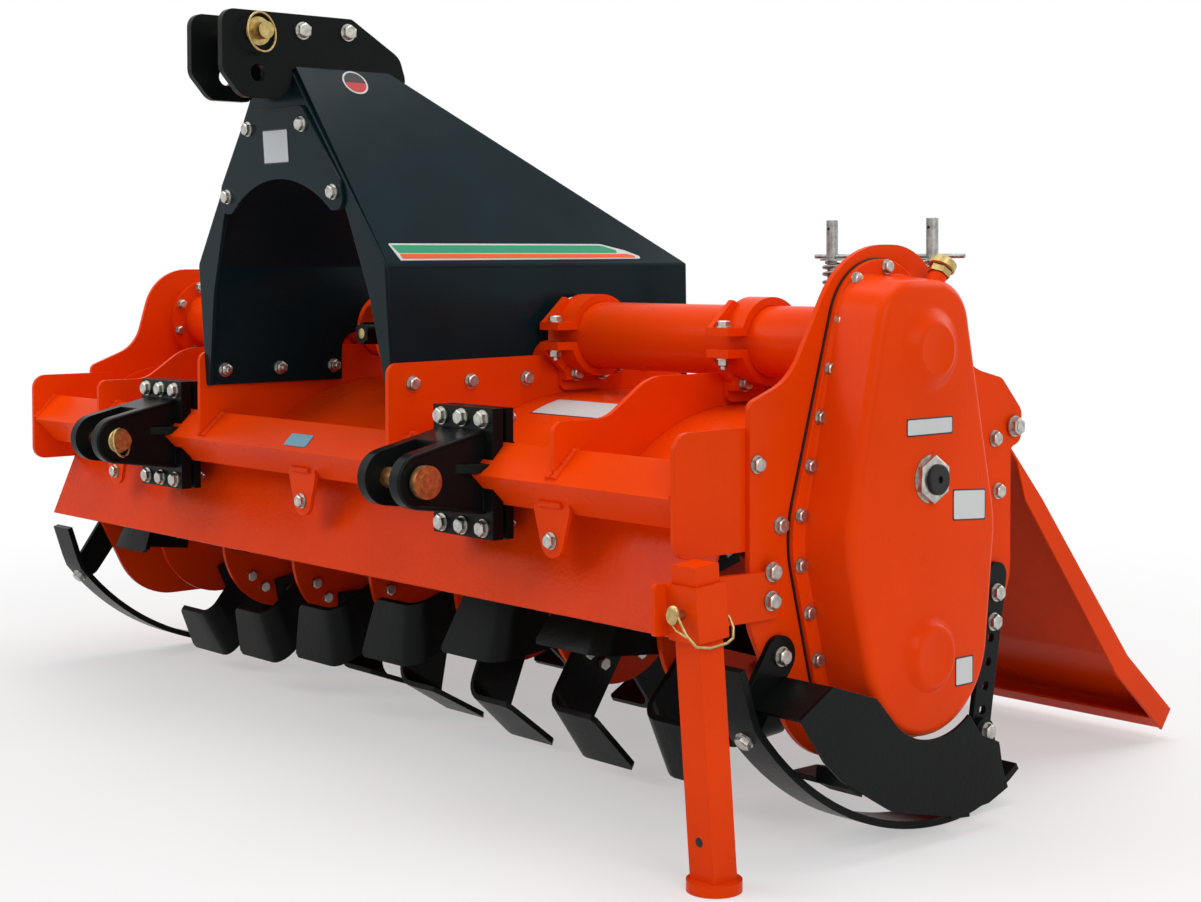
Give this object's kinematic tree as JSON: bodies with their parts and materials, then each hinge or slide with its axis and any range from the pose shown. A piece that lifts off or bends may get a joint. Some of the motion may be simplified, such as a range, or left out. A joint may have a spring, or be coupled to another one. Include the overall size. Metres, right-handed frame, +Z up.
{
  "type": "rotary tiller",
  "caption": "Tractor-mounted rotary tiller with a three-point hitch mast, side gear drive, bladed rotor under a hood, sprung trailing board, skids and a parking stand.",
  "frame": {"origin": "middle of the footprint on the ground plane", "axes": "+X across the machine to the gear-drive side, -Y to the tractor, +Z up"},
  "size_m": [1.8762, 1.23, 1.12],
  "materials": {
    "paint_orange": "gloss",
    "paint_black": "satin",
    "zinc": "bright zinc plate",
    "zinc_yellow": "yellow zinc plate",
    "galvanised": "galvanised",
    "steel": "machined"
  },
  "bodies": {
    "frame": {"apron": "paint_orange", "board_hinge_rod": "zinc", "breather": "paint_black", "clevis_clamp_plates": "paint_black", "frame_end_plate_left": "paint_orange", "frame_end_plate_right": "paint_orange", "front_beam": "paint_orange", "gear_case": "paint_orange", "gear_guard": "paint_black", "gearbox": "paint_orange", "hood": "paint_orange", "hood_ribs": "paint_orange", "hub_nut": "zinc", "lower_clevis_left": "paint_black", "lower_clevis_right": "paint_black", "lower_link_pins": "zinc_yellow", "mast_arch_plate": "paint_black", "mast_mount_plates": "paint_orange", "mast_panel_left": "paint_black", "mast_panel_right": "paint_black", "rod_brackets": "paint_black", "rotor_bearing_cap": "paint_orange", "side_plate_left": "paint_orange", "side_plate_right": "paint_orange", "skid_brackets": "paint_black", "skid_left": "paint_black", "skid_right": "paint_black", "skid_straps": "paint_black", "stand_pin": "zinc_yellow", "stand_sleeve": "paint_orange", "top_hitch_plates": "paint_black", "top_hitch_spacers": "paint_black", "top_link_pin": "zinc_yellow", "torque_tubes": "paint_orange", "tube_clamp_lowers": "paint_black", "tube_clamp_uppers": "paint_black"},
    "rotor": {"rotor_shaft": "paint_black", "rotor_blades_left_hand": "paint_black", "rotor_blades_right_hand": "paint_black"},
    "input_shaft": {"input_shaft": "steel"},
    "trailing_board": {"trailing_board": "paint_orange"},
    "rod_swivels": {"rod_swivels": "zinc", "rod_springs": "galvanised"},
    "spring_rods": {"spring_rods": "galvanised"},
    "stand_leg": {"stand_leg": "paint_orange"}
  },
  "joints": [
    {"name": "rotor_spin", "type": "hinge", "parent": "frame", "child": "rotor", "pos_m": [-0.02485, -0.116, 0.244], "axis": [1, 0, 0], "continuous": true},
    {"name": "input_spin", "type": "hinge", "parent": "frame", "child": "input_shaft", "pos_m": [-0.02485, -0.276, 0.64], "axis": [0, -1, 0], "continuous": true},
    {"name": "board_hinge", "type": "hinge", "parent": "frame", "child": "trailing_board", "pos_m": [-0.02485, 0.169, 0.519], "axis": [1, 0, 0], "range_deg": [0, 40]},
    {"name": "rod_swivel", "type": "hinge", "parent": "frame", "child": "rod_swivels", "pos_m": [-0.02485, 0.336, 0.655], "axis": [1, 0, 0], "range_deg": [0, 21]},
    {"name": "rod_slide", "type": "slide", "parent": "rod_swivels", "child": "spring_rods", "axis": [0, 0, 1], "range_m": [0, 0.135]},
    {"name": "stand_slide", "type": "slide", "parent": "frame", "child": "stand_leg", "axis": [0, -0.0819, 0.9966], "range_m": [0, 0.25]}
  ],
  "couplings": [
    {"joint": "input_spin", "follows": "rotor_spin", "ratio": 2.5},
    {"joint": "rod_swivel", "follows": "board_hinge", "ratio": 0.506},
    {"joint": "rod_slide", "follows": "board_hinge", "m_per_rad": 0.1872}
  ]
}
